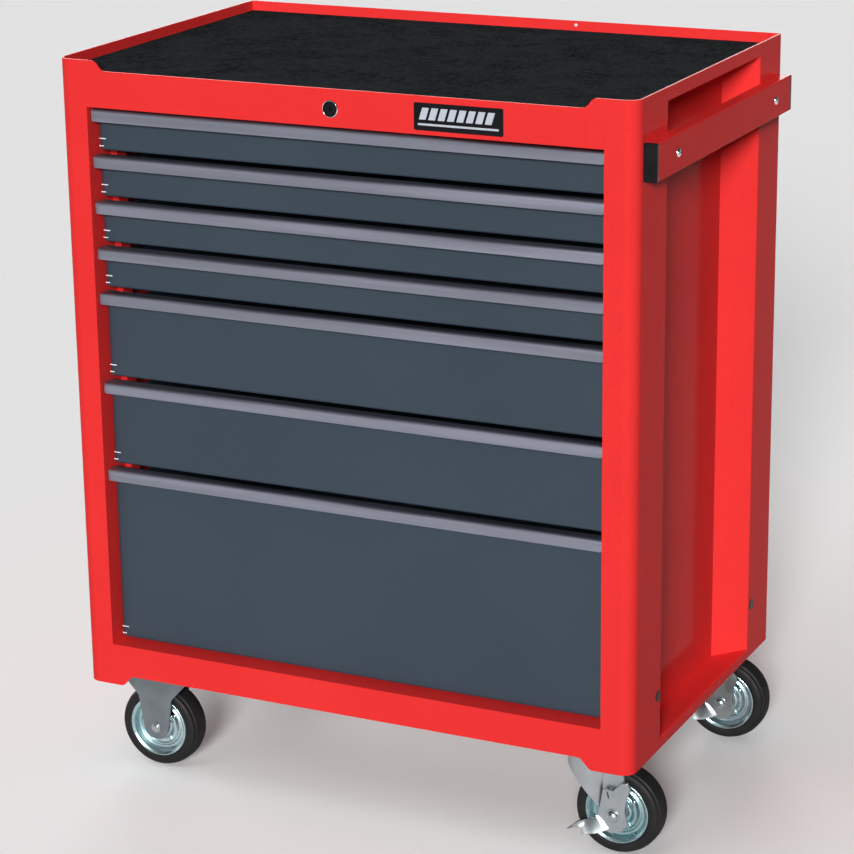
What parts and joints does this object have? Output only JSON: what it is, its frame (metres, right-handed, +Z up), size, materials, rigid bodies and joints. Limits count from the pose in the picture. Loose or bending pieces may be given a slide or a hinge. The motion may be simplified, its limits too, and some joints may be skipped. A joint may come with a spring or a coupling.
{
  "type": "roller tool cabinet",
  "caption": "Steel roller tool cabinet: stacked full-width drawers under a mat-lined top tray, side push bar, central drawer lock, fixed and braked swivel casters.",
  "frame": {"origin": "middle of the object's footprint, on the floor", "axes": "+Z up, drawers open towards -Y, push bar on +X"},
  "size_m": [0.6978, 0.4424, 0.844],
  "materials": {
    "red_paint": "glossy powder coat",
    "slate_paint": "satin powder coat",
    "pull_aluminium": "grey anodised extrusion",
    "zinc_plate": "bright zinc plate",
    "slide_steel": "rolled zinc-coated steel",
    "chrome": "polished",
    "black_plastic": "moulded black",
    "badge_black": "gloss black with a silver border",
    "mat_rubber": "ribbed, slightly fibrous",
    "tyre_rubber": "solid black rubber"
  },
  "bodies": {
    "cabinet": {"side_panel_left": "red_paint", "side_panel_right": "red_paint", "back_panel": "red_paint", "top_tray": "red_paint", "top_mat": "mat_rubber", "bottom_pan": "red_paint", "front_top_rail": "red_paint", "front_bottom_rail": "red_paint", "slide_uprights": "red_paint", "slide_outer_members": "slide_steel", "badge_plate": "badge_black", "side_handle_bar": "red_paint", "side_handle_end_caps": "black_plastic", "side_handle_screws": "chrome", "hole_plugs": "black_plastic", "lock_housing": "chrome", "lock_bar_guides": "zinc_plate", "caster_bolts": "zinc_plate", "fixed_caster_brackets": "zinc_plate", "fixed_caster_axles": "zinc_plate", "swivel_caster_plates": "zinc_plate", "swivel_kingpins": "zinc_plate"},
    "drawer_1": {"drawer_1_body": "slate_paint", "drawer_1_handle": "pull_aluminium", "drawer_1_slides": "slide_steel"},
    "drawer_2": {"drawer_2_body": "slate_paint", "drawer_2_handle": "pull_aluminium", "drawer_2_slides": "slide_steel"},
    "drawer_3": {"drawer_3_body": "slate_paint", "drawer_3_handle": "pull_aluminium", "drawer_3_slides": "slide_steel"},
    "drawer_4": {"drawer_4_body": "slate_paint", "drawer_4_handle": "pull_aluminium", "drawer_4_slides": "slide_steel"},
    "drawer_5": {"drawer_5_body": "slate_paint", "drawer_5_handle": "pull_aluminium", "drawer_5_slides": "slide_steel"},
    "drawer_6": {"drawer_6_body": "slate_paint", "drawer_6_handle": "pull_aluminium", "drawer_6_slides": "slide_steel"},
    "drawer_7": {"drawer_7_body": "slate_paint", "drawer_7_handle": "pull_aluminium", "drawer_7_slides": "slide_steel"},
    "swivel_front": {"swivel_fork_front": "zinc_plate", "swivel_axle_front": "zinc_plate"},
    "brake_front": {"brake_pedal_front": "zinc_plate"},
    "wheel_front_left": {"tyre_front_left": "tyre_rubber", "rim_front_left": "zinc_plate"},
    "wheel_front_right": {"tyre_front_right": "tyre_rubber", "rim_front_right": "zinc_plate"},
    "swivel_rear": {"swivel_fork_rear": "zinc_plate", "swivel_axle_rear": "zinc_plate"},
    "brake_rear": {"brake_pedal_rear": "zinc_plate"},
    "wheel_rear_left": {"tyre_rear_left": "tyre_rubber", "rim_rear_left": "zinc_plate"},
    "wheel_rear_right": {"tyre_rear_right": "tyre_rubber", "rim_rear_right": "zinc_plate"},
    "lock_core": {"lock_plug": "chrome", "lock_rod": "zinc_plate"},
    "lock_slider": {"lock_bar": "zinc_plate"}
  },
  "joints": [
    {"name": "drawer_1_slide", "type": "slide", "parent": "cabinet", "child": "drawer_1", "axis": [0, -1, 0], "range_m": [0, 0.29]},
    {"name": "drawer_2_slide", "type": "slide", "parent": "cabinet", "child": "drawer_2", "axis": [0, -1, 0], "range_m": [0, 0.29]},
    {"name": "drawer_3_slide", "type": "slide", "parent": "cabinet", "child": "drawer_3", "axis": [0, -1, 0], "range_m": [0, 0.29]},
    {"name": "drawer_4_slide", "type": "slide", "parent": "cabinet", "child": "drawer_4", "axis": [0, -1, 0], "range_m": [0, 0.29]},
    {"name": "drawer_5_slide", "type": "slide", "parent": "cabinet", "child": "drawer_5", "axis": [0, -1, 0], "range_m": [0, 0.29]},
    {"name": "drawer_6_slide", "type": "slide", "parent": "cabinet", "child": "drawer_6", "axis": [0, -1, 0], "range_m": [0, 0.29]},
    {"name": "drawer_7_slide", "type": "slide", "parent": "cabinet", "child": "drawer_7", "axis": [0, -1, 0], "range_m": [0, 0.29]},
    {"name": "swivel_front_turn", "type": "hinge", "parent": "cabinet", "child": "swivel_front", "pos_m": [0.2649, -0.16175, 0.1145], "axis": [0, 0, 1], "continuous": true},
    {"name": "brake_front_press", "type": "hinge", "parent": "swivel_front", "child": "brake_front", "pos_m": [0.2989, -0.16175, 0.05], "axis": [0, -1, 0], "range_deg": [0, 12]},
    {"name": "wheel_front_left_spin", "type": "hinge", "parent": "cabinet", "child": "wheel_front_left", "pos_m": [-0.2811, -0.16175, 0.05], "axis": [0, 1, 0], "continuous": true},
    {"name": "wheel_front_right_spin", "type": "hinge", "parent": "swivel_front", "child": "wheel_front_right", "pos_m": [0.2989, -0.16175, 0.05], "axis": [0, 1, 0], "continuous": true},
    {"name": "swivel_rear_turn", "type": "hinge", "parent": "cabinet", "child": "swivel_rear", "pos_m": [0.2649, 0.18125, 0.1145], "axis": [0, 0, 1], "continuous": true},
    {"name": "brake_rear_press", "type": "hinge", "parent": "swivel_rear", "child": "brake_rear", "pos_m": [0.2989, 0.18125, 0.05], "axis": [0, -1, 0], "range_deg": [0, 12]},
    {"name": "wheel_rear_left_spin", "type": "hinge", "parent": "cabinet", "child": "wheel_rear_left", "pos_m": [-0.2811, 0.18125, 0.05], "axis": [0, 1, 0], "continuous": true},
    {"name": "wheel_rear_right_spin", "type": "hinge", "parent": "swivel_rear", "child": "wheel_rear_right", "pos_m": [0.2989, 0.18125, 0.05], "axis": [0, 1, 0], "continuous": true},
    {"name": "lock_turn", "type": "hinge", "parent": "cabinet", "child": "lock_core", "pos_m": [-0.0118, -0.21875, 0.812], "axis": [0, 1, 0], "range_deg": [0, 90]},
    {"name": "lock_bar_drop", "type": "slide", "parent": "cabinet", "child": "lock_slider", "axis": [0, 0, -1], "range_m": [0, 0.01]}
  ],
  "couplings": [
    {"joint": "lock_turn", "follows": "lock_bar_drop", "rad_per_m": 157.08}
  ]
}
